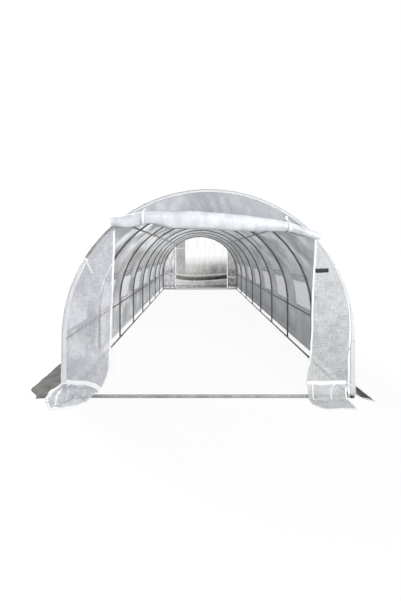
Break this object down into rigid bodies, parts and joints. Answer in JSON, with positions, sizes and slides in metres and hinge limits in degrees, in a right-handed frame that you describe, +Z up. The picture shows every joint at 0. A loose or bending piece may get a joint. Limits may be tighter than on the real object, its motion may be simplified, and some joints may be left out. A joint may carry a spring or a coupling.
{
  "type": "polytunnel",
  "caption": "Walk-in garden polytunnel: hooped steel tube frame under a white woven film cover, with a rolled-up front door, zipped rear door and screened side windows.",
  "frame": {"origin": "on the ground, under the middle of the tunnel's length and width", "axes": "+X to the right seen from the front door, +Y from the front door to the rear door, +Z up"},
  "size_m": [3.8006, 8.4656, 2.1391],
  "materials": {
    "steel_tube": "galvanised, dull grey",
    "cover_film": "woven reinforced film, translucent white",
    "end_film": "woven reinforced film, translucent white",
    "door_film": "woven reinforced film, rolled or hanging",
    "flap_film": "woven reinforced film, rolled",
    "webbing": "woven white tape",
    "zip_nylon": "moulded white nylon"
  },
  "bodies": {
    "frame_and_cover": {"arch_1": "steel_tube", "arch_2": "steel_tube", "arch_3": "steel_tube", "arch_4": "steel_tube", "arch_5": "steel_tube", "arch_6": "steel_tube", "arch_7": "steel_tube", "arch_8": "steel_tube", "arch_9": "steel_tube", "leg_left_1": "steel_tube", "leg_left_2": "steel_tube", "leg_left_3": "steel_tube", "leg_left_4": "steel_tube", "leg_left_5": "steel_tube", "leg_left_6": "steel_tube", "leg_left_7": "steel_tube", "leg_left_8": "steel_tube", "leg_left_9": "steel_tube", "leg_right_1": "steel_tube", "leg_right_2": "steel_tube", "leg_right_3": "steel_tube", "leg_right_4": "steel_tube", "leg_right_5": "steel_tube", "leg_right_6": "steel_tube", "leg_right_7": "steel_tube", "leg_right_8": "steel_tube", "leg_right_9": "steel_tube", "base_rail_left": "steel_tube", "base_rail_right": "steel_tube", "middle_rail_left": "steel_tube", "middle_rail_right": "steel_tube", "purlin_left": "steel_tube", "purlin_right": "steel_tube", "front_sill": "steel_tube", "rear_sill": "steel_tube", "cover": "cover_film", "front_end_wall": "end_film", "rear_end_wall": "end_film"},
    "front_door": {"front_door_roll": "door_film", "door_strap_left": "webbing", "door_strap_right": "webbing"},
    "rear_door_panel": {"rear_door": "door_film"},
    "flap_left_1": {"window_flap_left_1": "flap_film"},
    "flap_left_2": {"window_flap_left_2": "flap_film"},
    "flap_left_3": {"window_flap_left_3": "flap_film"},
    "flap_left_4": {"window_flap_left_4": "flap_film"},
    "flap_left_5": {"window_flap_left_5": "flap_film"},
    "flap_left_6": {"window_flap_left_6": "flap_film"},
    "flap_left_7": {"window_flap_left_7": "flap_film"},
    "flap_left_8": {"window_flap_left_8": "flap_film"},
    "flap_right_1": {"window_flap_right_1": "flap_film"},
    "flap_right_2": {"window_flap_right_2": "flap_film"},
    "flap_right_3": {"window_flap_right_3": "flap_film"},
    "flap_right_4": {"window_flap_right_4": "flap_film"},
    "flap_right_5": {"window_flap_right_5": "flap_film"},
    "flap_right_6": {"window_flap_right_6": "flap_film"},
    "flap_right_7": {"window_flap_right_7": "flap_film"},
    "flap_right_8": {"window_flap_right_8": "flap_film"},
    "slider_left": {"zip_slider_left": "zip_nylon"},
    "slider_right": {"zip_slider_right": "zip_nylon"}
  },
  "joints": [
    {"name": "front_door_unroll", "type": "slide", "parent": "frame_and_cover", "child": "front_door", "axis": [0, 0, -1], "range_m": [0, 1.35]},
    {"name": "rear_door_lift", "type": "hinge", "parent": "frame_and_cover", "child": "rear_door_panel", "pos_m": [0, 4.0148, 1.64545], "axis": [1, 0, 0], "range_deg": [0, 90]},
    {"name": "flap_left_1_unroll", "type": "hinge", "parent": "frame_and_cover", "child": "flap_left_1", "pos_m": [0, -3.5, 0.64], "axis": [0, -1, 0], "range_deg": [0, 17]},
    {"name": "flap_left_2_unroll", "type": "hinge", "parent": "frame_and_cover", "child": "flap_left_2", "pos_m": [0, -2.5, 0.64], "axis": [0, -1, 0], "range_deg": [0, 17]},
    {"name": "flap_left_3_unroll", "type": "hinge", "parent": "frame_and_cover", "child": "flap_left_3", "pos_m": [0, -1.5, 0.64], "axis": [0, -1, 0], "range_deg": [0, 17]},
    {"name": "flap_left_4_unroll", "type": "hinge", "parent": "frame_and_cover", "child": "flap_left_4", "pos_m": [0, -0.5, 0.64], "axis": [0, -1, 0], "range_deg": [0, 17]},
    {"name": "flap_left_5_unroll", "type": "hinge", "parent": "frame_and_cover", "child": "flap_left_5", "pos_m": [0, 0.5, 0.64], "axis": [0, -1, 0], "range_deg": [0, 17]},
    {"name": "flap_left_6_unroll", "type": "hinge", "parent": "frame_and_cover", "child": "flap_left_6", "pos_m": [0, 1.5, 0.64], "axis": [0, -1, 0], "range_deg": [0, 17]},
    {"name": "flap_left_7_unroll", "type": "hinge", "parent": "frame_and_cover", "child": "flap_left_7", "pos_m": [0, 2.5, 0.64], "axis": [0, -1, 0], "range_deg": [0, 17]},
    {"name": "flap_left_8_unroll", "type": "hinge", "parent": "frame_and_cover", "child": "flap_left_8", "pos_m": [0, 3.5, 0.64], "axis": [0, -1, 0], "range_deg": [0, 17]},
    {"name": "flap_right_1_unroll", "type": "hinge", "parent": "frame_and_cover", "child": "flap_right_1", "pos_m": [0, -3.5, 0.64], "axis": [0, 1, 0], "range_deg": [0, 17]},
    {"name": "flap_right_2_unroll", "type": "hinge", "parent": "frame_and_cover", "child": "flap_right_2", "pos_m": [0, -2.5, 0.64], "axis": [0, 1, 0], "range_deg": [0, 17]},
    {"name": "flap_right_3_unroll", "type": "hinge", "parent": "frame_and_cover", "child": "flap_right_3", "pos_m": [0, -1.5, 0.64], "axis": [0, 1, 0], "range_deg": [0, 17]},
    {"name": "flap_right_4_unroll", "type": "hinge", "parent": "frame_and_cover", "child": "flap_right_4", "pos_m": [0, -0.5, 0.64], "axis": [0, 1, 0], "range_deg": [0, 17]},
    {"name": "flap_right_5_unroll", "type": "hinge", "parent": "frame_and_cover", "child": "flap_right_5", "pos_m": [0, 0.5, 0.64], "axis": [0, 1, 0], "range_deg": [0, 17]},
    {"name": "flap_right_6_unroll", "type": "hinge", "parent": "frame_and_cover", "child": "flap_right_6", "pos_m": [0, 1.5, 0.64], "axis": [0, 1, 0], "range_deg": [0, 17]},
    {"name": "flap_right_7_unroll", "type": "hinge", "parent": "frame_and_cover", "child": "flap_right_7", "pos_m": [0, 2.5, 0.64], "axis": [0, 1, 0], "range_deg": [0, 17]},
    {"name": "flap_right_8_unroll", "type": "hinge", "parent": "frame_and_cover", "child": "flap_right_8", "pos_m": [0, 3.5, 0.64], "axis": [0, 1, 0], "range_deg": [0, 17]},
    {"name": "zip_left_pull", "type": "slide", "parent": "frame_and_cover", "child": "slider_left", "axis": [0, 0, -1], "range_m": [0, 1.35]},
    {"name": "zip_right_pull", "type": "slide", "parent": "frame_and_cover", "child": "slider_right", "axis": [0, 0, -1], "range_m": [0, 1.35]}
  ]
}
